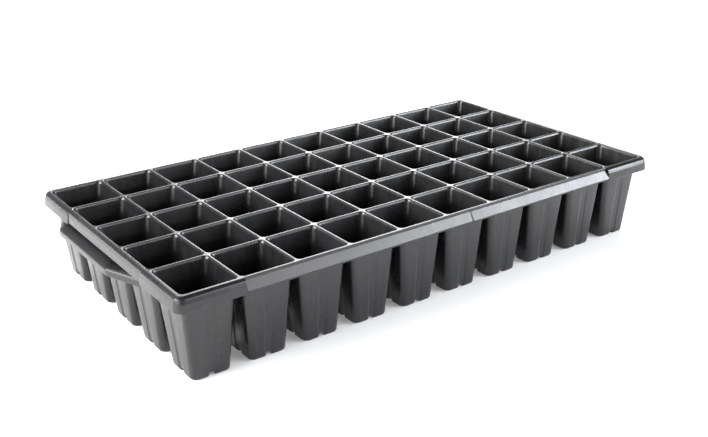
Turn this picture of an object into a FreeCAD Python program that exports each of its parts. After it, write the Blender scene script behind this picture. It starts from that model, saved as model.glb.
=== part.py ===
import FreeCAD, Part
import os
import re

import Sketcher

# Plug tray: a moulded seed tray of square-topped tapered cells, five across and ten along.
# Millimetres. +X runs along the tray, +Y across it, +Z up.
# The origin is on the surface the tray stands on, below the centre of its box.
# The cells tile the grid and meet on the centre lines of their ridges. The rim lengths and
# the corner pads meet the outer cells face to face, and the end grips meet the end pots.

DIMENSIONS = (
    ("columns", 10, "cells along the tray"),
    ("rows", 5, "cells across the tray"),
    ("pitch_long", 50.5, "cell spacing along the tray"),
    ("pitch_cross", 54.5, "cell spacing across the tray"),
    ("tray_height", 80, "from the feet of the pots to the top of the ridges"),
    ("ridge_width", 3, "flat top between two openings"),
    ("web_thickness", 2.5, "depth of the ridge before the pots part"),
    ("wall_thickness", 1.2, "wall of a pot"),
    ("floor_thickness", 1.4, "floor of a pot beside its channels"),
    ("collar_depth", 15, "depth of the flared upper part of a cell"),
    ("collar_inset", 2.9, "from a cell's edge in to its pot, at the foot of the collar"),
    ("foot_inset", 8.2, "from a cell's edge in to its pot, at the floor"),
    ("pot_radius", 5.8, "outer radius of a pot's upright corners"),
    ("cavity_radius", 4.5, "inner radius of a pot's upright corners"),
    ("groove_width", 9, "upright groove down the middle of each pot face"),
    ("groove_depth", 0.6, "depth of that groove, and of the rib behind it"),
    ("groove_clearance", 3, "how far the groove's cutter stands out of the face"),
    ("channel_width", 6, "drain channels under the pot"),
    ("channel_height", 3, "height of the drain channels"),
    ("drain_radius", 4.8, "drain hole where the channels cross"),
    ("rim_flat", 1.5, "flat top of the rim outside the grid"),
    ("rim_step", 2.6, "upright drop outside the flat top of the long rims"),
    ("rim_flare", 6, "reach of the long rims outside the grid"),
    ("rim_slope_foot", 10, "foot of the sloped band below the top"),
    ("rim_depth", 11.5, "foot of the long rims below the top"),
    ("end_flare", 5.2, "reach of the end rims outside the grid"),
    ("end_shoulder", 5, "widest place of the end rims below the top"),
    ("end_depth", 11.5, "foot of the end rims below the top"),
    ("skirt_thickness", 1.4, "sheet thickness of rims and grips"),
    ("label_length", 43, "middle stretch of the long rims that stands back"),
    ("label_centre", 4, "centre of that stretch along the tray"),
    ("label_depth", 0.5, "how far it stands back"),
    ("pad_flare", 6, "reach of the corner pads outside the grid"),
    ("pad_shoulder", 5.5, "widest place of the corner pads below the top"),
    ("pad_depth", 12.6, "foot of the corner pads below the top"),
    ("pad_long", 53, "corner pad along the long side"),
    ("pad_cross", 60, "corner pad along the end"),
    ("pad_bend", 2.4, "radius of the grid's corner under the pad"),
    ("grip_reach", 10, "reach of the end grips outside the grid"),
    ("grip_top", 64.5, "height of a grip's upper edge"),
    ("grip_crest", 58.5, "height of a grip's crest"),
    ("grip_foot", 53.5, "height of a grip's turned-down edge"),
    ("grip_near", -16, "near end of the crest, across the tray"),
    ("grip_far", 90, "far end of the crest, across the tray"),
    ("grip_taper_near", 38, "length of the slanted near end"),
    ("grip_taper_far", 30, "length of the slanted far end"),
)

doc = FreeCAD.newDocument("plug_tray")
dim = doc.addObject("Spreadsheet::Sheet", "dim")
dim.Label = "Dimensions"
for line, (alias, value, meaning) in enumerate(DIMENSIONS, start=1):
    dim.set(f"A{line}", alias)
    dim.set(f"B{line}", str(value))
    dim.set(f"C{line}", meaning)
    dim.setAlias(f"B{line}", alias)
doc.recompute()

# Turns a wedge, which rises along Y, upright.
STAND_UP = FreeCAD.Rotation(FreeCAD.Vector(1, 0, 0), 90)

parts = []


def on_sheet(expression):
    """The same expression with every dimension's name pointing at the sheet."""
    return re.sub(r"[a-z][a-z_]+", lambda found: "dim." + found.group(), str(expression))


def number(expression):
    """The present value of an expression."""
    return float(dim.evalExpression(on_sheet(expression)))


def drive(item, **properties):
    """Tie properties of an object to the sheet; a double underscore stands for a dot."""
    for name, expression in properties.items():
        item.setExpression(name.replace("__", "."), on_sheet(expression))


def new_body(label):
    """An empty body with its own label."""
    body = doc.addObject("PartDesign::Body", label)
    body.Label = label
    return body


def new_sketch(body, name, role, offset):
    """A sketch on one of the body's origin planes, moved along the plane's normal."""
    sketch = body.newObject("Sketcher::SketchObject", name)
    plane = next(item for item in body.Origin.OriginFeatures if item.Role == role)
    sketch.AttachmentSupport = (plane, "")
    sketch.MapMode = "FlatFace"
    drive(sketch, AttachmentOffset__Base__z=offset)
    return sketch


def constrain(sketch, expression, *constraint):
    """Add one constraint whose value follows an expression."""
    index = sketch.addConstraint(Sketcher.Constraint(*constraint, number(expression)))
    sketch.setExpression(f"Constraints[{index}]", on_sheet(expression))


def polygon(body, name, role, offset, corners):
    """A closed outline whose corners are pairs of expressions."""
    sketch = new_sketch(body, name, role, offset)
    places = [FreeCAD.Vector(number(across), number(up), 0) for across, up in corners]
    count = len(places)
    for index in range(count):
        sketch.addGeometry(Part.LineSegment(places[index], places[(index + 1) % count]), False)
    for index in range(count):
        sketch.addConstraint(Sketcher.Constraint("Coincident", index, 2, (index + 1) % count, 1))
    for index, (across, up) in enumerate(corners):
        constrain(sketch, across, "DistanceX", -1, 1, index, 1)
        constrain(sketch, up, "DistanceY", -1, 1, index, 1)
    return sketch


def loft(body, kind, name, sketches):
    """A straight-sided loft through outlines, first to last."""
    feature = body.newObject(f"PartDesign::{kind}", name)
    feature.Profile = sketches[0]
    feature.Sections = sketches[1:]
    feature.Ruled = True
    return feature


def box(body, kind, name, length, width, height, x, y, z):
    """A box with its lowest corner at x, y, z."""
    feature = body.newObject(f"PartDesign::{kind}Box", name)
    drive(feature, Length=length, Width=width, Height=height)
    drive(feature, Placement__Base__x=x, Placement__Base__y=y, Placement__Base__z=z)
    return feature


def must_cut(body, before):
    """A feature that should have taken material away did."""
    doc.recompute()
    if not body.Shape.Volume < before - 0.5:
        raise RuntimeError(f"{body.Tip.Label} cut nothing")
    return body.Shape.Volume


def frustum(body, name, low, high, low_inset, high_inset):
    """A taper between two heights, each with its own inset from the cell's edge."""
    feature = body.newObject("PartDesign::AdditiveWedge", name)
    low_x = f"pitch_long / 2 - ({low_inset})"
    low_y = f"pitch_cross / 2 - ({low_inset})"
    high_x = f"pitch_long / 2 - ({high_inset})"
    high_y = f"pitch_cross / 2 - ({high_inset})"
    drive(feature, Ymin=low, Ymax=high)
    drive(feature, Xmin=f"-({low_x})", Xmax=low_x, Zmin=f"-({low_y})", Zmax=low_y)
    drive(feature, X2min=f"-({high_x})", X2max=high_x, Z2min=f"-({high_y})", Z2max=high_y)
    feature.Placement = FreeCAD.Placement(FreeCAD.Vector(0, 0, 0), STAND_UP)


def round_corners(body, name, radius):
    """Round the four upright corners of a body's frustums."""
    doc.recompute()
    least_rise = number("collar_depth / 2")
    names = []
    for index, edge in enumerate(body.Shape.Edges, start=1):
        if abs(edge.Vertexes[-1].Point.z - edge.Vertexes[0].Point.z) > least_rise:
            names.append(f"Edge{index}")
    base = body.Tip
    fillet = body.newObject("PartDesign::Fillet", name)
    fillet.Base = (base, names)
    drive(fillet, Radius=radius)


def face_strips(body, kind, name, low, inner, outer):
    """A strip down each pot face, up to the collar, between two depths behind the face."""
    slope = "(foot_inset - collar_inset) / (tray_height - collar_depth)"
    high = "tray_height - collar_depth"
    sides = (("front", 0, "pitch_cross"), ("right", 90, "pitch_long"),
             ("back", 180, "pitch_cross"), ("left", 270, "pitch_long"))
    for side, turn, pitch in sides:
        strip = body.newObject(f"PartDesign::{kind}Wedge", f"{name}_{side}")
        low_face = f"{pitch} / 2 - foot_inset + ({low}) * {slope}"
        high_face = f"{pitch} / 2 - foot_inset + ({high}) * {slope}"
        drive(strip, Xmin="-groove_width / 2", Xmax="groove_width / 2")
        drive(strip, X2min="-groove_width / 2", X2max="groove_width / 2")
        drive(strip, Ymin=low, Ymax=high)
        drive(strip, Zmin=f"{low_face} - ({inner})", Zmax=f"{low_face} - ({outer})")
        drive(strip, Z2min=f"{high_face} - ({inner})", Z2max=f"{high_face} - ({outer})")
        swing = FreeCAD.Rotation(FreeCAD.Vector(0, 0, 1), turn)
        strip.Placement = FreeCAD.Placement(FreeCAD.Vector(0, 0, 0), swing * STAND_UP)


def build_cavity():
    """The space inside a cell, as a solid to take away: the pot's taper, then the collar's."""
    body = new_body("cavity")
    inner_foot = "foot_inset + wall_thickness"
    inner_collar = "collar_inset + wall_thickness"
    collar_foot = "tray_height - collar_depth"
    frustum(body, "pot_inside", "floor_thickness", collar_foot, inner_foot, inner_collar)
    frustum(body, "collar_inside", collar_foot, "tray_height", inner_collar, "ridge_width / 2")
    round_corners(body, "cavity_corners", "cavity_radius")
    return body


def build_cell():
    """The pattern cell, centred on the origin: ridge tile, flared collar, pot and drain."""
    cavity = build_cavity()
    body = new_body("pattern_cell")
    collar_foot = "tray_height - collar_depth"
    under_web = "tray_height - web_thickness"
    top_inset = "ridge_width / 2 - wall_thickness"
    web_inset = f"{top_inset} + (collar_inset - ({top_inset})) * web_thickness / collar_depth"
    frustum(body, "pot_outside", "0", collar_foot, "foot_inset", "collar_inset")
    frustum(body, "collar_outside", collar_foot, under_web, "collar_inset", web_inset)
    round_corners(body, "pot_corners", "pot_radius")
    box(body, "Additive", "tile", "pitch_long", "pitch_cross", "web_thickness",
        "-pitch_long / 2", "-pitch_cross / 2", under_web)
    doc.recompute()
    volume = body.Shape.Volume
    hollow = body.newObject("PartDesign::Boolean", "hollow")
    hollow.Type = "Cut"
    hollow.setObjects([cavity])
    volume = must_cut(body, volume)
    face_strips(body, "Subtractive", "groove", "0", "groove_depth", "-groove_clearance")
    must_cut(body, volume)
    face_strips(body, "Additive", "rib", "floor_thickness", "wall_thickness + groove_depth",
                "wall_thickness / 2")
    build_drain(body)
    return body


def build_drain(body):
    """Two crossed channels under the pot, their covers inside it, and a hole where they cross."""
    cover_width = "channel_width + 2 * wall_thickness"
    cover_height = "channel_height + floor_thickness"
    cover_inset = "foot_inset + groove_depth + wall_thickness / 2"
    span_x = f"pitch_long - 2 * ({cover_inset})"
    span_y = f"pitch_cross - 2 * ({cover_inset})"
    box(body, "Additive", "cover_along", span_x, cover_width, cover_height,
        f"-({span_x}) / 2", f"-({cover_width}) / 2", "0")
    box(body, "Additive", "cover_across", cover_width, span_y, cover_height,
        f"-({cover_width}) / 2", f"-({span_y}) / 2", "0")
    doc.recompute()
    volume = body.Shape.Volume
    box(body, "Subtractive", "channel_along", "pitch_long", "channel_width", "channel_height",
        "-pitch_long / 2", "-channel_width / 2", "0")
    volume = must_cut(body, volume)
    box(body, "Subtractive", "channel_across", "channel_width", "pitch_cross", "channel_height",
        "-channel_width / 2", "-pitch_cross / 2", "0")
    volume = must_cut(body, volume)
    drain = body.newObject("PartDesign::SubtractiveCylinder", "drain_hole")
    drive(drain, Radius="drain_radius", Height="channel_height + 2 * floor_thickness")
    must_cut(body, volume)


def place_cells(pattern):
    """One clone of the pattern cell for each place in the grid, front row first."""
    for row in range(int(number("rows"))):
        for column in range(int(number("columns"))):
            label = f"cell_r{row + 1}_c{column + 1:02d}"
            body = new_body(label)
            clone = doc.addObject("PartDesign::FeatureBase", label + "_clone")
            clone.BaseFeature = pattern
            body.Group = [clone]
            body.Tip = clone
            drive(body, Placement__Base__x=f"({column} + 0.5 - columns / 2) * pitch_long",
                  Placement__Base__y=f"({row} + 0.5 - rows / 2) * pitch_cross")
            parts.append(body)


def long_rim_profile(setback):
    """Section of a long rim as (outward, up): flat top, upright step, sloped band, open hook."""
    top = "tray_height"
    sheet = "skirt_thickness"
    reach = f"rim_flare - {setback}"
    return (
        ("0", top),
        (f"rim_flat - {setback}", top),
        (f"rim_flat - {setback}", f"{top} - rim_step"),
        (reach, f"{top} - rim_slope_foot"),
        (reach, f"{top} - rim_depth"),
        (f"{reach} - {sheet}", f"{top} - rim_depth"),
        (f"{reach} - {sheet}", f"{top} - rim_slope_foot + {sheet} / 2"),
        ("0", f"{top} - rim_step - {sheet}"),
    )


def shoulder_profile(flare, shoulder, depth):
    """Section of a rounded skirt as (outward, up), bulging to its widest at the shoulder."""
    top = "tray_height"
    sheet = "skirt_thickness"
    return (
        ("0", top),
        ("rim_flat", top),
        (f"rim_flat + 0.55 * ({flare} - rim_flat)", f"{top} - 0.22 * {shoulder}"),
        (f"rim_flat + 0.87 * ({flare} - rim_flat)", f"{top} - 0.55 * {shoulder}"),
        (flare, f"{top} - {shoulder}"),
        (f"{flare} - 0.3", f"{top} - {depth}"),
        (f"{flare} - 0.3 - {sheet}", f"{top} - {depth}"),
        (f"{flare} - {sheet}", f"{top} - {shoulder} - {sheet} / 3"),
        (f"rim_flat + 0.3", f"{top} - 0.3 * {shoulder} - {sheet}"),
        ("0", f"{top} - {sheet}"),
    )


def pad(body, name, sketch, length):
    """Extrude a sketch along its normal."""
    feature = body.newObject("PartDesign::Pad", name)
    feature.Profile = sketch
    drive(feature, Length=length)
    return feature


def outside(profile, edge, sense):
    """A section moved to the grid's edge: sense 1 or -1 is the way outwards."""
    return [(f"{sense} * ({edge} + {across})", up) for across, up in profile]


def build_front_rim():
    """The front rim between its corner pads, with a middle stretch that stands back."""
    body = new_body("rim_front")
    edge = "rows * pitch_cross / 2"
    end = "columns * pitch_long / 2 - pad_long"
    label_start = "label_centre - label_length / 2"
    label_end = "label_centre + label_length / 2"
    stretches = (
        ("left", f"-({end})", label_start, "0"),
        ("label", label_start, label_end, "label_depth"),
        ("right", label_end, end, "0"),
    )
    for name, start, stop, setback in stretches:
        corners = outside(long_rim_profile(setback), edge, -1)
        sketch = polygon(body, f"rim_section_{name}", "YZ_Plane", start, corners)
        pad(body, f"band_{name}", sketch, f"{stop} - ({start})")
    return body


def build_left_rim():
    """The left end's rim between its corner pads."""
    body = new_body("rim_left")
    edge = "columns * pitch_long / 2"
    end = "rows * pitch_cross / 2 - pad_cross"
    corners = outside(shoulder_profile("end_flare", "end_shoulder", "end_depth"), edge, -1)
    sketch = polygon(body, "end_section", "XZ_Plane", f"-({end})", corners)
    pad(body, "end_rim", sketch, f"2 * ({end})")
    return body


def build_corner():
    """The front left corner pad: a leg along each side and a quarter turn between them."""
    body = new_body("corner_front_left")
    edge_x = "columns * pitch_long / 2"
    edge_y = "rows * pitch_cross / 2"
    profile = shoulder_profile("pad_flare", "pad_shoulder", "pad_depth")
    front = polygon(body, "front_section", "YZ_Plane", f"-({edge_x}) + pad_bend",
                    outside(profile, edge_y, -1))
    pad(body, "front_leg", front, "pad_long - pad_bend")
    end = polygon(body, "end_section", "XZ_Plane", f"{edge_y} - pad_cross",
                  outside(profile, edge_x, -1))
    pad(body, "end_leg", end, "pad_cross - pad_bend")
    turn_sketch = polygon(body, "turn_section", "YZ_Plane", f"-({edge_x}) + pad_bend",
                          outside(profile, edge_y, -1))
    turn = body.newObject("PartDesign::Revolution", "quarter_turn")
    turn.Profile = turn_sketch
    axis_sketch = new_sketch(body, "turn_axis", "YZ_Plane", f"-({edge_x}) + pad_bend")
    across = number(f"-({edge_y} - pad_bend)")
    line = Part.LineSegment(FreeCAD.Vector(across, 0, 0), FreeCAD.Vector(across, 10, 0))
    axis_sketch.addGeometry(line, False)
    constrain(axis_sketch, f"-({edge_y} - pad_bend)", "DistanceX", -1, 1, 0, 1)
    constrain(axis_sketch, f"-({edge_y} - pad_bend)", "DistanceX", -1, 1, 0, 2)
    turn.ReferenceAxis = (axis_sketch, ["Edge1"])
    turn.Angle = 90
    turn.Reversed = True
    doc.recompute()
    volume = body.Shape.Volume
    box(body, "Subtractive", "tile_corner", "pad_long", "pad_cross", "web_thickness",
        f"-({edge_x})", f"-({edge_y})", "tray_height - web_thickness")
    must_cut(body, volume)
    return body


def grip_outline(body, name, height, drawn_in, back):
    """A grip's outline at one height: slanted ends, drawn in on the three free sides."""
    edge = "columns * pitch_long / 2"
    slant = f"{drawn_in} / grip_reach"
    near = f"grip_near - grip_taper_near + grip_taper_near * {slant}"
    far = f"grip_far + grip_taper_far - grip_taper_far * {slant}"
    crest_near = f"grip_near + 0.4 * {drawn_in}"
    crest_far = f"grip_far - 0.4 * {drawn_in}"
    outer = f"-({edge} + grip_reach - ({drawn_in}))"
    inner = f"-({edge} - ({back}))"
    corners = ((inner, near), (outer, crest_near), (outer, crest_far), (inner, far))
    return polygon(body, name, "XY_Plane", height, corners)


def build_grip():
    """The left end's grip: a sheet that slopes out from the end pots and turns down."""
    body = new_body("grip_left")
    slope = "(foot_inset - collar_inset) / (tray_height - collar_depth)"
    sheet = "skirt_thickness"

    def pot_face(height):
        return f"foot_inset - ({height}) * {slope}"

    outside_outlines = (
        grip_outline(body, "grip_foot", "grip_foot", "0", pot_face("grip_foot")),
        grip_outline(body, "grip_crest", "grip_crest", "0", pot_face("grip_crest")),
        grip_outline(body, "grip_top", "grip_top", "grip_reach", pot_face("grip_top")),
    )
    loft(body, "AdditiveLoft", "grip_outside", list(outside_outlines))
    doc.recompute()
    volume = body.Shape.Volume
    past = "foot_inset"
    inside_outlines = (
        grip_outline(body, "hollow_foot", "grip_foot", sheet, past),
        grip_outline(body, "hollow_crest", f"grip_crest - {sheet} / 2", sheet, past),
        grip_outline(body, "hollow_top", f"grip_top - {sheet}", "grip_reach", past),
    )
    loft(body, "SubtractiveLoft", "grip_hollow", list(inside_outlines))
    must_cut(body, volume)
    return body


def mirrored(source, label, normal):
    """The mirror image of a part across the middle of the tray."""
    image = doc.addObject("Part::Mirroring", label)
    image.Label = label
    image.Source = source
    image.Normal = normal
    image.Base = FreeCAD.Vector(0, 0, 0)
    parts.append(image)
    return image


def build_rims():
    """The four rim lengths, the four corner pads and the two grips."""
    along = FreeCAD.Vector(1, 0, 0)
    across = FreeCAD.Vector(0, 1, 0)
    rim_front = build_front_rim()
    rim_left = build_left_rim()
    corner = build_corner()
    grip = build_grip()
    parts.extend((rim_front, rim_left, corner, grip))
    mirrored(rim_front, "rim_back", across)
    mirrored(rim_left, "rim_right", along)
    corner_right = mirrored(corner, "corner_front_right", along)
    mirrored(corner, "corner_back_left", across)
    mirrored(corner_right, "corner_back_right", across)
    mirrored(grip, "grip_right", along)


def check_document():
    """Stop if an object failed or a part is empty or broken."""
    for item in doc.Objects:
        if {"Invalid", "Error"} & set(item.State):
            raise RuntimeError(f"{item.Label} is {item.State}")
    for item in parts:
        shape = item.Shape
        if shape.isNull() or not shape.isValid() or len(shape.Solids) != 1:
            raise RuntimeError(f"{item.Label} is not one valid solid")


def write_parts():
    """One STEP file for each part, named by its label."""
    os.makedirs("parts", exist_ok=True)
    for item in parts:
        item.Shape.exportStep(f"parts/{item.Label}.step")
        extent = item.Shape.optimalBoundingBox()
        print(f"{item.Label}: {item.Shape.Volume:.0f} mm3, {extent.XLength:.1f} x "
              f"{extent.YLength:.1f} x {extent.ZLength:.1f} mm")


pattern_cell = build_cell()
place_cells(pattern_cell)
build_rims()
doc.recompute()
check_document()
write_parts()
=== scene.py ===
import math

import bmesh
import bpy
from mathutils import Matrix, Vector


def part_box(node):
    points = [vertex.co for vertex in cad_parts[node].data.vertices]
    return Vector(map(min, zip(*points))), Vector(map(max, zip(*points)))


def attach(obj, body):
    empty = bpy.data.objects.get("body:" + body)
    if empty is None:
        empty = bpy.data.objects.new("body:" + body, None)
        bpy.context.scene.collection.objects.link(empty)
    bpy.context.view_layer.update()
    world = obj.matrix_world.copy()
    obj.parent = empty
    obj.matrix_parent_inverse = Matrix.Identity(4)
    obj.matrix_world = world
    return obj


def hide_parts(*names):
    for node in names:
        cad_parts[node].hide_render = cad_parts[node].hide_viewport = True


# Plug tray: fifty square-topped cells, a turned-down rim, four corner pads and two end grips.
# Metres. +X runs along the tray, +Y across it, +Z up, and the pots stand on z = 0.

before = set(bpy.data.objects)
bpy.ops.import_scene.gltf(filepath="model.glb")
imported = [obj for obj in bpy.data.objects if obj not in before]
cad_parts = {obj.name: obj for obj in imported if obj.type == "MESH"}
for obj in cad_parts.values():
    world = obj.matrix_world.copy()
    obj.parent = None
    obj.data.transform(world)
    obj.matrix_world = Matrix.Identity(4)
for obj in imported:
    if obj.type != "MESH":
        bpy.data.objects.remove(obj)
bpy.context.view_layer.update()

MM = 0.001
COLUMNS = 10
ROWS = 5

# Places and sizes that come from the frame.
cell_low, cell_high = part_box("cell_r1_c01")
PITCH_X = cell_high.x - cell_low.x
PITCH_Y = cell_high.y - cell_low.y
TOP = cell_high.z
EDGE_X = -cell_low.x
EDGE_Y = -cell_low.y
rim_low, rim_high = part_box("rim_front")
RIM_FLARE = -rim_low.y - EDGE_Y
RIM_FOOT = rim_low.z
RIM_HALF_LENGTH = rim_high.x
end_low, end_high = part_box("rim_left")
END_FLARE = -end_low.x - EDGE_X
END_FOOT = end_low.z
END_HALF_LENGTH = end_high.y
pad_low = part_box("corner_front_left")[0]
PAD_FLARE = -pad_low.x - EDGE_X
PAD_FOOT = pad_low.z
grip_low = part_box("grip_left")[0]

# Sizes of a pot, in metres.
WALL = 1.2 * MM
RIDGE = 3 * MM
RIDGE_ROUND = 1.25 * MM
RIDGE_TUCK = 0.3
WEB = 1.3 * MM
WEB_RADIUS = 0.4 * MM
COLLAR_FOOT = 65 * MM
COLLAR_BLEND = 5 * MM
COLLAR_INSET = 2.9 * MM
FOOT_INSET = 8.2 * MM
POT_RADIUS = 5.8 * MM
CAVITY_RADIUS = 4.6 * MM
GROOVE_DEPTH = 0.6 * MM
GROOVE_FLAT = 2.6 * MM
GROOVE_HALF = 4.5 * MM
GROOVE_FADE = 52 * MM
GROOVE_END = 64 * MM
CHANNEL_HALF = 3.0 * MM
CHANNEL_HEIGHT = 3 * MM
CHANNEL_FADE = 9 * MM
FLOOR = 1.4 * MM
DRAIN_RADIUS = 4.8 * MM
FOOT_ROUND = 2.6 * MM
FOOT_TUCK = 0.5

# Sizes of the rims, pads and grips, in metres.
SHEET = 1.4 * MM
BAND_STEP = 2.6 * MM
BAND_SHOULDER = 10 * MM
LABEL_MIDDLE = 4 * MM
LABEL_LENGTH = 43 * MM
LABEL_DEPTH = 0.5 * MM
END_SHOULDER = 5 * MM
PAD_SHOULDER = 5.5 * MM
PAD_BEND = 2.4 * MM
PAD_END_ROUND = 0.8 * MM
PAD_END_DRAW = 0.5 * MM
GRIP_CREST_LOW = -16 * MM
GRIP_CREST_HIGH = 90 * MM
GRIP_ROUND = 9 * MM
GRIP_DROP = 6 * MM
GRIP_SPLAY_LOW = 38 * MM
GRIP_SPLAY_HIGH = 30 * MM

# Mesh density: places along a pot's side in millimetres from its middle, heights of its rings in
# millimetres, shares of the way from its foot to its drain hole, and steps in an arc.
NEAR_GROOVE = [0, 1.0, 1.8, 2.4, 2.8, 3.0, 3.3, 3.9, 4.5, 6.0, 8.5]
NEAR_SHARE = 0.85
WALL_HEIGHTS = [78.2, 77.6, 76.5, 74, 72, 70, 68.5, 67, 66, 65, 64, 63, 61.5, 60, 57, 54, 50, 44,
                36, 28, 20, 13, 9, 6.5]
FLOOR_SHARES = [0.04, 0.14, 0.28, 0.42, 0.56, 0.7, 0.84, 0.96, 1.0]
CORNER_STEPS = 7
ROUND_STEPS = 5
PAD_STEPS = 12

# A corner this tight reads as square, and a ring this close to a hard edge keeps its shading flat.
SQUARE = 0.01 * MM
EDGE_MARGIN = 0.12 * MM
MERGE = 0.02 * MM
# The offset given to points round a corner, which no groove or channel reaches.
NO_OFFSET = 1.0


def smoothstep(low, high, value):
    """0 below low, 1 above high, and a smooth rise between."""
    t = min(1.0, max(0.0, (value - low) / (high - low)))
    return t * t * (3 - 2 * t)


# ---------------------------------------------------------------- mesh helpers

def new_object(name, points, faces, materials, sharp_angle=35):
    """A smooth-shaded mesh object with hard edges above an angle, in degrees.

    Points that coincide are merged, and all faces are turned outward.
    """
    mesh = bpy.data.meshes.new(name)
    mesh.from_pydata([tuple(p) for p in points], [], faces)
    mesh.validate()
    shape = bmesh.new()
    shape.from_mesh(mesh)
    bmesh.ops.remove_doubles(shape, verts=shape.verts, dist=MERGE)
    bmesh.ops.recalc_face_normals(shape, faces=shape.faces)
    shape.to_mesh(mesh)
    shape.free()
    mesh.polygons.foreach_set("use_smooth", [True] * len(mesh.polygons))
    mesh.set_sharp_from_angle(angle=math.radians(sharp_angle))
    for material in materials:
        mesh.materials.append(material)
    piece = bpy.data.objects.new(name, mesh)
    bpy.context.scene.collection.objects.link(piece)
    return piece


def bridge(rings, loop):
    """Faces between rings of equal length. With loop, the last ring joins the first."""
    count = len(rings[0])
    spans = len(rings) if loop else len(rings) - 1
    faces = []
    for ring in range(spans):
        a = ring * count
        b = (ring + 1) % len(rings) * count
        for index in range(count):
            following = (index + 1) % count
            faces.append((a + index, a + following, b + following, b + index))
    return faces


def rounded(corners):
    """A section from (across, up, radius) corners; a radius above 0 becomes an arc."""
    section = []
    count = len(corners)
    for index, (across, up, radius) in enumerate(corners):
        here = Vector((across, up))
        if radius <= 0:
            section.append(here)
            continue
        before = Vector(corners[index - 1][:2]) - here
        after = Vector(corners[(index + 1) % count][:2]) - here
        half_angle = before.angle(after) / 2
        longest = 0.48 * min(before.length, after.length)
        reach = min(radius / math.tan(half_angle), longest)
        start = here + before.normalized() * reach
        end = here + after.normalized() * reach
        for step in range(ROUND_STEPS + 1):
            t = step / ROUND_STEPS
            section.append(start * (1 - t) ** 2 + here * 2 * t * (1 - t) + end * t ** 2)
    return section


def swept(name, stations, sections, materials):
    """A solid strip. Each station is (origin, outward) and takes its own section of (out, up)."""
    points = []
    for (origin, outward), section in zip(stations, sections):
        for across, up in section:
            points.append((origin.x + outward.x * across, origin.y + outward.y * across, up))
    count = len(sections[0])
    rings = [points[k * count:(k + 1) * count] for k in range(len(stations))]
    faces = bridge(rings, loop=False)
    faces.append(tuple(range(count)))
    faces.append(tuple(reversed(range((len(rings) - 1) * count, len(rings) * count))))
    return new_object(name, points, faces, materials)


# ---------------------------------------------------------------- one cell

def side_offsets(half_straight):
    """Places along one side, measured from its middle: close together near the groove."""
    limit = half_straight / MM
    scale = min(1.0, NEAR_SHARE * limit / NEAR_GROOVE[-1])
    half = [place * scale for place in NEAR_GROOVE] + [limit]
    return [-place * MM for place in reversed(half[1:])] + [place * MM for place in half]


def outline(inset, radius):
    """A cell's outline as (place, outward, offset along its side) triples, counter-clockwise."""
    half_x = PITCH_X / 2 - inset
    half_y = PITCH_Y / 2 - inset
    ring = []
    for quarter in range(4):
        turn = quarter * math.pi / 2
        outward = Vector((round(math.cos(turn)), round(math.sin(turn))))
        along = Vector((-outward.y, outward.x))
        reach, half_side = (half_x, half_y) if quarter % 2 == 0 else (half_y, half_x)
        for offset in side_offsets(half_side - radius):
            ring.append((outward * reach + along * offset, outward, offset))
        centre = outward * (reach - radius) + along * (half_side - radius)
        for step in range(1, CORNER_STEPS):
            angle = turn + step / CORNER_STEPS * math.pi / 2
            radial = Vector((math.cos(angle), math.sin(angle)))
            ring.append((centre + radial * radius, radial, NO_OFFSET))
    return ring


def wall_inset(height):
    """How far the pot's outer face lies inside the cell's edge at a height."""
    lower = (FOOT_INSET - COLLAR_INSET) / COLLAR_FOOT
    upper = (COLLAR_INSET - (RIDGE / 2 - WALL)) / (TOP - COLLAR_FOOT)
    rise = height - COLLAR_FOOT
    blend = smoothstep(-COLLAR_BLEND, COLLAR_BLEND, rise)
    return COLLAR_INSET - rise * (lower * (1 - blend) + upper * blend)


def groove(offset, height):
    """Depth of the upright groove in a pot's face; it fades out at its upper end."""
    across = 1 - smoothstep(GROOVE_FLAT, GROOVE_HALF, abs(offset))
    return GROOVE_DEPTH * across * (1 - smoothstep(GROOVE_FADE, GROOVE_END, height))


def arch(offset):
    """Height of a drain channel's roof at a distance from its middle."""
    if abs(offset) >= CHANNEL_HALF:
        return 0.0
    return CHANNEL_HEIGHT * math.sqrt(1 - (offset / CHANNEL_HALF) ** 2)


def wall_ring(height, inset, radius, channelled=False):
    """One ring of a pot's wall. A channelled one rises over the drain channels near the foot."""
    ring = []
    for place, outward, offset in outline(inset, radius):
        place = place - outward * groove(offset, height)
        up = height
        if channelled and height < CHANNEL_FADE:
            up += arch(offset) * (1 - height / CHANNEL_FADE)
        ring.append((place.x, place.y, up))
    return ring


def hole_point(place, mouth):
    """Where a point between two channels lands on the drain hole, clear of their mouths."""
    quarter = math.pi / 2
    angle = math.atan2(place.y, place.x)
    turn = math.floor(angle / quarter) * quarter
    local = angle - turn
    rim_mouth = math.atan2(CHANNEL_HALF, PITCH_X / 2 - FOOT_INSET - FOOT_ROUND)
    share = (local - rim_mouth) / (quarter - 2 * rim_mouth)
    landed = turn + mouth + min(1.0, max(0.0, share)) * (quarter - 2 * mouth)
    return Vector((math.cos(landed), math.sin(landed))) * DRAIN_RADIUS


def floor_rings(inset, radius, height, steps):
    """Rings across the floor, from the foot of the wall to the drain hole."""
    outer = outline(inset, radius)
    mouth = math.asin(CHANNEL_HALF / DRAIN_RADIUS)
    rings = []
    for share in steps:
        ring = []
        for place, outward, offset in outer:
            if abs(offset) <= CHANNEL_HALF:
                along = Vector((-outward.y, outward.x))
                hole = outward * math.sqrt(DRAIN_RADIUS ** 2 - offset ** 2) + along * offset
            else:
                hole = hole_point(place, mouth)
            spot = place.lerp(hole, share)
            roof = max(arch(spot.x), arch(spot.y))
            ring.append((spot.x, spot.y, height + roof))
        rings.append(ring)
    return rings


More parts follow.
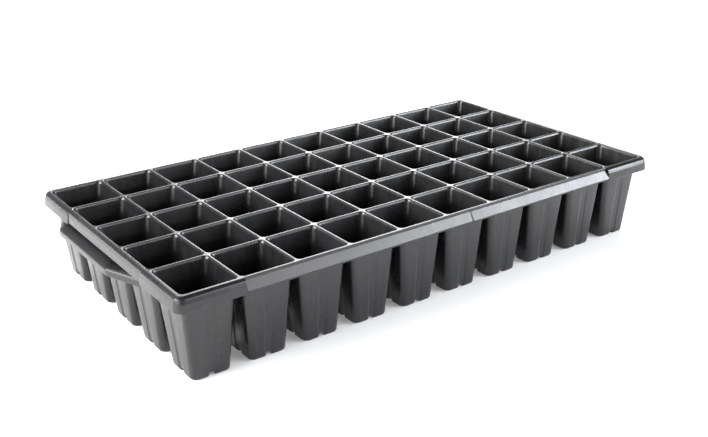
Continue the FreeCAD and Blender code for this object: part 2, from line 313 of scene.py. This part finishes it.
def foot_rings(lift, thickness, radius, tuck):
    """The rings round a pot's foot, from its wall down and in to its floor."""
    rings = []
    for step in range(ROUND_STEPS + 1):
        share = step / ROUND_STEPS
        angle = share * math.pi / 2
        height = FOOT_ROUND * (1 - math.sin(angle)) + lift
        inset = wall_inset(height) + thickness + FOOT_ROUND * (1 - math.cos(angle))
        rings.append(wall_ring(height, inset, radius - FOOT_ROUND * tuck * share, True))
    return rings


def ridge_rings():
    """The rings over a ridge's rounded inner edge, from the cavity up to the flat top."""
    rings = []
    radius = CAVITY_RADIUS - RIDGE_ROUND * RIDGE_TUCK
    for step in range(ROUND_STEPS + 1):
        angle = step / ROUND_STEPS * math.pi / 2
        height = TOP - RIDGE_ROUND + RIDGE_ROUND * math.sin(angle)
        inset = RIDGE / 2 - RIDGE_ROUND * (1 - math.cos(angle))
        rings.append(wall_ring(height, inset, radius))
    rings.append(wall_ring(TOP, RIDGE / 2 - RIDGE_ROUND - EDGE_MARGIN, radius))
    rings.append(wall_ring(TOP, 0.0, SQUARE))
    return rings


def cell_mesh_rings():
    """All rings of a cell, from the ridge's underside round the pot and back to its top."""
    walls = [height * MM for height in WALL_HEIGHTS]
    rings = [wall_ring(TOP - WEB, 0.0, SQUARE), wall_ring(TOP - WEB, EDGE_MARGIN, WEB_RADIUS)]
    for height in walls:
        rings.append(wall_ring(height, wall_inset(height), POT_RADIUS, True))
    rings += foot_rings(0.0, 0.0, POT_RADIUS, FOOT_TUCK)
    foot_inset = wall_inset(0) + FOOT_ROUND
    foot_radius = POT_RADIUS - FOOT_ROUND * FOOT_TUCK
    rings += floor_rings(foot_inset, foot_radius, 0.0, FLOOR_SHARES)
    rings += floor_rings(foot_inset, foot_radius, FLOOR, list(reversed(FLOOR_SHARES)))
    rings += reversed(foot_rings(FLOOR, WALL, CAVITY_RADIUS, 0.0))
    lowest = FLOOR + FOOT_ROUND
    highest = TOP - RIDGE_ROUND - 0.5 * MM
    for height in reversed(walls):
        if lowest < height < highest:
            rings.append(wall_ring(height, wall_inset(height) + WALL, CAVITY_RADIUS))
    return rings + ridge_rings()


def build_cells(material):
    """Fifty pieces that share one mesh, each at its node's place."""
    rings = cell_mesh_rings()
    points = [point for ring in rings for point in ring]
    pattern = new_object("cell_pattern", points, bridge(rings, loop=True), [material])
    mesh = pattern.data
    mesh.name = "cell"
    bpy.data.objects.remove(pattern)
    for row in range(ROWS):
        for column in range(COLUMNS):
            node = f"cell_r{row + 1}_c{column + 1:02d}"
            low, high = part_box(node)
            piece = bpy.data.objects.new(node + "_pot", mesh)
            bpy.context.scene.collection.objects.link(piece)
            piece.location = ((low.x + high.x) / 2, (low.y + high.y) / 2, 0)
            finish_piece(piece, node)


def finish_piece(piece, node):
    """The piece stands for its node and rides on the tray."""
    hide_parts(node)
    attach(piece, "root")


# ---------------------------------------------------------------- rim, pads and grips

def band_section(setback):
    """Section of a long rim: flat top, upright step, sloped band and a short upright lip."""
    flare = RIM_FLARE - setback
    flat = 1.5 * MM - 0.5 * setback
    step = TOP - BAND_STEP
    shoulder = TOP - BAND_SHOULDER
    return rounded((
        (0, TOP, 0),
        (flat, TOP, 0.7 * MM),
        (flat, step, 0.5 * MM),
        (flare, shoulder, 0.9 * MM),
        (flare, RIM_FOOT, 0.5 * MM),
        (flare - SHEET, RIM_FOOT, 0.5 * MM),
        (flare - SHEET, shoulder + 0.5 * MM, 0.8 * MM),
        (0.2 * MM, step - 1.6 * MM, 0),
        (0, TOP - WEB, 0),
    ))


def shoulder_section(flare, shoulder_drop, foot):
    """Section of a rounded skirt that leans out over a shoulder, down to its foot."""
    shoulder = TOP - shoulder_drop
    return rounded((
        (0, TOP, 0),
        (1.6 * MM, TOP, 0.8 * MM),
        (0.66 * flare, TOP - 0.36 * shoulder_drop, 2.2 * MM),
        (0.86 * flare, shoulder, 2.0 * MM),
        (flare, foot + 0.8 * MM, 0.5 * MM),
        (flare - 0.3 * MM, foot, 0.4 * MM),
        (flare - 0.3 * MM - SHEET, foot, 0.4 * MM),
        (flare - SHEET, shoulder - 0.4 * MM, 1.4 * MM),
        (1.7 * MM, TOP - 0.3 * shoulder_drop - SHEET, 0.8 * MM),
        (0.2 * MM, TOP - SHEET - 0.4 * MM, 0),
        (0, TOP - WEB, 0),
    ))


def build_long_rim(node, side, material):
    """A long rim between its pads; its middle stretch stands back a little."""
    label_low = LABEL_MIDDLE - LABEL_LENGTH / 2
    label_high = LABEL_MIDDLE + LABEL_LENGTH / 2
    step = 0.25 * MM
    margin = 4 * step
    setbacks = [
        (-RIM_HALF_LENGTH, 0), (label_low - margin, 0), (label_low - step, 0),
        (label_low + step, LABEL_DEPTH), (label_low + margin, LABEL_DEPTH),
        (label_high - margin, LABEL_DEPTH), (label_high - step, LABEL_DEPTH),
        (label_high + step, 0), (label_high + margin, 0), (RIM_HALF_LENGTH, 0),
    ]
    stations = [(Vector((x, side * EDGE_Y)), Vector((0, side))) for x, _setback in setbacks]
    sections = [band_section(setback) for _x, setback in setbacks]
    finish_piece(swept(node + "_band", stations, sections, [material]), node)


def build_end_rim(node, side, material):
    """An end rim between its pads."""
    places = (-END_HALF_LENGTH, END_HALF_LENGTH)
    stations = [(Vector((side * EDGE_X, y)), Vector((side, 0))) for y in places]
    sections = [shoulder_section(END_FLARE, END_SHOULDER, END_FOOT)] * 2
    finish_piece(swept(node + "_skirt", stations, sections, [material]), node)


def pad_path(far_x, far_y):
    """The pad's way round a corner: (origin, outward, how full its section is) at each station."""
    end_shares = (0.0, 0.15, 0.5, 1.0)
    centre = Vector((EDGE_X - PAD_BEND, EDGE_Y - PAD_BEND))
    path = []
    for share in end_shares:
        path.append((Vector((far_x + share * PAD_END_ROUND, EDGE_Y)), Vector((0, 1)), share))
    for step in range(PAD_STEPS + 1):
        angle = math.pi / 2 * (1 - step / PAD_STEPS)
        radial = Vector((math.cos(angle), math.sin(angle)))
        path.append((centre + radial * PAD_BEND, radial, 1.0))
    for share in reversed(end_shares):
        path.append((Vector((EDGE_X, far_y + share * PAD_END_ROUND)), Vector((1, 0)), share))
    return path


def pad_section(outward, share):
    """The pad's section at a station: drawn in at its ends, and filled to the tray's corner."""
    drawn = PAD_END_DRAW * (1 - math.sqrt(1 - (1 - share) ** 2))
    corner_reach = PAD_BEND / max(outward.x, outward.y) - PAD_BEND
    section = []
    for across, up in shoulder_section(PAD_FLARE, PAD_SHOULDER, PAD_FOOT):
        if across == 0:
            section.append((corner_reach, up))
        else:
            section.append((across - drawn * across / PAD_FLARE, up))
    return section


def build_pad(node, side_x, side_y, material):
    """A corner pad: two legs and a quarter turn, with softened ends."""
    low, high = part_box(node)
    path = pad_path(min(abs(low.x), abs(high.x)), min(abs(low.y), abs(high.y)))
    stations = []
    for origin, outward, _share in path:
        stations.append((Vector((side_x * origin.x, side_y * origin.y)),
                         Vector((side_x * outward.x, side_y * outward.y))))
    sections = [pad_section(outward, share) for _origin, outward, share in path]
    finish_piece(swept(node + "_pad", stations, sections, [material]), node)


def grip_path(drawn_in, low_y, high_y):
    """The grip's free edge seen from above, drawn in towards the tray, with round corners."""
    taper = 0.4 * drawn_in
    out = -grip_low.x - drawn_in
    inner = EDGE_X - FOOT_INSET + (FOOT_INSET - COLLAR_INSET) * 0.9
    corners = ((inner, low_y, 0), (out, GRIP_CREST_LOW + taper, GRIP_ROUND),
               (out, GRIP_CREST_HIGH - taper, GRIP_ROUND), (inner, high_y, 0))
    return rounded(corners)


def grip_rows(top, foot, reach):
    """(height, drawn in) down the grip's outer face and back up its inner face."""
    crest = top - GRIP_DROP
    outer = [(top, 0.98 * reach), (top - 1.4 * MM, 0.62 * reach), (top - 3.2 * MM, 0.3 * reach),
             (crest + 1.1 * MM, 0.1 * reach), (crest + 0.2 * MM, 0.02 * reach),
             (crest - 1.2 * MM, 0.0), (foot + 0.4 * MM, 0.0), (foot, 0.3 * MM)]
    inner = [(max(foot, height - SHEET), drawn_in + SHEET) for height, drawn_in in outer[:-1]]
    return outer + inner[::-1]


def build_grip(node, side, material):
    """An end grip: a sheet that slopes out from the end pots, rolls over and turns down."""
    low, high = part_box(node)
    reach = -grip_low.x - EDGE_X
    rings = []
    for height, drawn_in in grip_rows(high.z, low.z, reach):
        share = min(1.0, drawn_in / reach)
        path = grip_path(drawn_in, low.y + GRIP_SPLAY_LOW * share, high.y - GRIP_SPLAY_HIGH * share)
        rings.append([(side * x, y, height) for x, y in path])
    columns = len(rings[0])
    points = [point for ring in rings for point in ring]
    faces = []
    for ring in range(len(rings)):
        here = ring * columns
        following = (ring + 1) % len(rings) * columns
        for index in range(columns - 1):
            faces.append((here + index, here + index + 1, following + index + 1, following + index))
    faces.append(tuple(ring * columns for ring in range(len(rings))))
    faces.append(tuple(ring * columns + columns - 1 for ring in reversed(range(len(rings)))))
    finish_piece(new_object(node + "_ledge", points, faces, [material]), node)


# ---------------------------------------------------------------- materials

def noise(tree, place, scale, detail, stretch=(1, 1, 1)):
    """The value of a noise pattern over world positions, drawn out along an axis by stretch."""
    mapping = tree.nodes.new("ShaderNodeMapping")
    mapping.inputs["Scale"].default_value = stretch
    pattern = tree.nodes.new("ShaderNodeTexNoise")
    pattern.inputs["Scale"].default_value = scale
    pattern.inputs["Detail"].default_value = detail
    tree.links.new(place, mapping.inputs["Vector"])
    tree.links.new(mapping.outputs["Vector"], pattern.inputs["Vector"])
    return pattern.outputs["Fac"]


def spread(tree, value, source, target):
    """A value stretched from a source range to a target range and held inside it."""
    node = tree.nodes.new("ShaderNodeMapRange")
    node.inputs["From Min"].default_value = source[0]
    node.inputs["From Max"].default_value = source[1]
    node.inputs["To Min"].default_value = target[0]
    node.inputs["To Max"].default_value = target[1]
    tree.links.new(value, node.inputs["Value"])
    return node.outputs["Result"]


def mixed(tree, share, first, second):
    """A colour between two colours, each given as plain numbers or as a socket."""
    node = tree.nodes.new("ShaderNodeMix")
    node.data_type = "RGBA"
    tree.links.new(share, node.inputs["Factor"])
    for name, colour in (("A", first), ("B", second)):
        socket = next(item for item in node.inputs if item.name == name and item.type == "RGBA")
        if isinstance(colour, tuple):
            socket.default_value = colour
        else:
            tree.links.new(colour, socket)
    return next(item for item in node.outputs if item.type == "RGBA")


def bumped(tree, height, strength, distance):
    """A normal that follows a height pattern."""
    node = tree.nodes.new("ShaderNodeBump")
    node.inputs["Strength"].default_value = strength
    node.inputs["Distance"].default_value = distance
    tree.links.new(height, node.inputs["Height"])
    return node.outputs["Normal"]


def tray_plastic():
    """Black moulded polypropylene: fine grain, upright draw streaks, flow marks and a little dust."""
    material = bpy.data.materials.new("tray_plastic")
    material.use_nodes = True
    tree = material.node_tree
    shader = tree.nodes["Principled BSDF"]
    place = tree.nodes.new("ShaderNodeNewGeometry").outputs["Position"]

    grain = noise(tree, place, scale=1100, detail=3)
    flow = noise(tree, place, scale=16, detail=4)
    streaks = noise(tree, place, scale=150, detail=2, stretch=(1, 1, 0.08))
    dust = noise(tree, place, scale=55, detail=6)

    black = (0.0070, 0.0071, 0.0075, 1)
    charcoal = (0.0100, 0.0102, 0.0107, 1)
    worn = (0.0120, 0.0122, 0.0126, 1)
    dusty = (0.030, 0.029, 0.027, 1)
    base = mixed(tree, spread(tree, flow, (0.35, 0.70), (0, 1)), black, charcoal)
    streaked = mixed(tree, spread(tree, streaks, (0.45, 0.75), (0, 0.6)), base, worn)
    finished = mixed(tree, spread(tree, dust, (0.60, 0.80), (0, 0.22)), streaked, dusty)
    tree.links.new(finished, shader.inputs["Base Color"])

    roughness = spread(tree, flow, (0.30, 0.70), (0.24, 0.32))
    rougher = tree.nodes.new("ShaderNodeMath")
    rougher.operation = "ADD"
    tree.links.new(roughness, rougher.inputs[0])
    tree.links.new(spread(tree, streaks, (0.45, 0.75), (0, 0.05)), rougher.inputs[1])
    tree.links.new(rougher.outputs["Value"], shader.inputs["Roughness"])

    grained = bumped(tree, grain, strength=0.08, distance=0.1 * MM)
    tree.links.new(grained, shader.inputs["Normal"])
    shader.inputs["IOR"].default_value = 1.5
    return material


def floor_paper():
    """Plain white paper that gives off a little light of its own, to stay white in the shade."""
    material = bpy.data.materials.new("floor_paper")
    material.use_nodes = True
    shader = material.node_tree.nodes["Principled BSDF"]
    shader.inputs["Base Color"].default_value = (0.9, 0.9, 0.9, 1)
    shader.inputs["Roughness"].default_value = 0.9
    shader.inputs["Specular IOR Level"].default_value = 0.1
    shader.inputs["Emission Color"].default_value = (1, 1, 1, 1)
    shader.inputs["Emission Strength"].default_value = 0.2
    return material


# ---------------------------------------------------------------- stage, light and camera

def build_floor():
    """A wide floor just under the feet."""
    half = 20.0
    drop = -0.1 * MM
    corners = [(-half, -half, drop), (half, -half, drop), (half, half, drop), (-half, half, drop)]
    floor = new_object("floor", corners, [(0, 1, 2, 3)], [floor_paper()])


def soft_light(name, position, target, size_x, size_y, power, colour):
    """A rectangular area light that faces a target and that the camera does not see."""
    data = bpy.data.lights.new(name, "AREA")
    data.shape = "RECTANGLE"
    data.size = size_x
    data.size_y = size_y
    data.energy = power
    data.color = colour
    light = bpy.data.objects.new(name, data)
    light.location = position
    aim = Vector(target) - Vector(position)
    light.rotation_euler = aim.to_track_quat("-Z", "Y").to_euler()
    light.visible_camera = False
    bpy.context.scene.collection.objects.link(light)


def build_world():
    """A surround that is pale towards the horizon and darker overhead."""
    world = bpy.data.worlds.new("surround")
    world.use_nodes = True
    tree = world.node_tree
    nodes = tree.nodes
    links = tree.links
    place = nodes.new("ShaderNodeTexCoord")
    split = nodes.new("ShaderNodeSeparateXYZ")
    ramp = nodes.new("ShaderNodeValToRGB")
    ramp.color_ramp.elements[0].position = 0.30
    ramp.color_ramp.elements[0].color = (0.55, 0.55, 0.55, 1)
    ramp.color_ramp.elements[1].position = 0.62
    ramp.color_ramp.elements[1].color = (0.04, 0.04, 0.043, 1)
    links.new(place.outputs["Generated"], split.inputs["Vector"])
    links.new(split.outputs["Z"], ramp.inputs["Fac"])
    links.new(ramp.outputs["Color"], nodes["Background"].inputs["Color"])
    bpy.context.scene.world = world


def build_lights():
    """A low disc behind for the ridge tops, softboxes for the front band, and fills."""
    build_world()
    data = bpy.data.lights.new("back_right", "SUN")
    data.energy = 1.1
    data.angle = math.radians(20)
    sun = bpy.data.objects.new("back_right", data)
    sun.rotation_euler = Vector((-0.532, -0.759, -0.378)).to_track_quat("-Z", "Y").to_euler()
    bpy.context.scene.collection.objects.link(sun)
    white = (1, 1, 1)
    cool = (0.93, 0.96, 1)
    blue = (0.86, 0.91, 1)
    # name, position, target, width, height, watts, colour
    softboxes = (
        ("overhead", (0.6, 1.2, 2.0), (0, 0, 0), 2.5, 1.5, 75, white),
        ("front_left", (0.52, -1.24, 0.66), (-0.15, -0.14, 0.07), 0.9, 0.4, 8, white),
        ("front_middle", (1.14, -1.17, 0.52), (0.10, -0.14, 0.07), 0.7, 0.5, 13, cool),
        ("front_right", (1.36, -1.00, 0.46), (0.24, -0.14, 0.07), 0.7, 0.5, 14, blue),
        ("left_fill", (-1.5, 0.3, 0.7), (-0.35, 0.10, 0.0), 1.4, 0.8, 70, white),
        ("corner", (-1.46, -0.84, 0.45), (-0.25, -0.14, 0.07), 0.16, 0.5, 4, white),
    )
    for softbox in softboxes:
        soft_light(*softbox)


def build_camera():
    """The camera, from its bearing, height angle, roll, distance and aim."""
    bearing = math.radians(35.03)
    drop = math.radians(22.22)
    roll = math.radians(1.11)
    distance = 946.2 * MM
    aim = Vector((-11.2, -13.1, 40.0)) * MM
    forward = Vector((math.sin(bearing) * math.cos(drop), math.cos(bearing) * math.cos(drop),
                      -math.sin(drop)))
    level = Vector((math.cos(bearing), -math.sin(bearing), 0))
    down = forward.cross(level)
    right = level * math.cos(roll) + down * math.sin(roll)
    up = -(down * math.cos(roll) - level * math.sin(roll))
    data = bpy.data.cameras.new("camera")
    data.sensor_width = 36
    data.lens = 50.04
    data.clip_start = 0.01
    camera = bpy.data.objects.new("camera", data)
    rotation = Matrix((right, up, -forward)).transposed()
    camera.matrix_world = Matrix.Translation(aim - forward * distance) @ rotation.to_4x4()
    bpy.context.scene.collection.objects.link(camera)
    bpy.context.scene.camera = camera


plastic = tray_plastic()
build_cells(plastic)
for rim_node, rim_side in (("rim_front", -1), ("rim_back", 1)):
    build_long_rim(rim_node, rim_side, plastic)
for rim_node, rim_side in (("rim_left", -1), ("rim_right", 1)):
    build_end_rim(rim_node, rim_side, plastic)
for end_name, end_side in (("left", -1), ("right", 1)):
    build_pad(f"corner_front_{end_name}", end_side, -1, plastic)
    build_pad(f"corner_back_{end_name}", end_side, 1, plastic)
    build_grip(f"grip_{end_name}", end_side, plastic)
build_floor()
build_lights()
build_camera()
bpy.context.scene.view_settings.view_transform = "Standard"

bpy.context.view_layer.update()
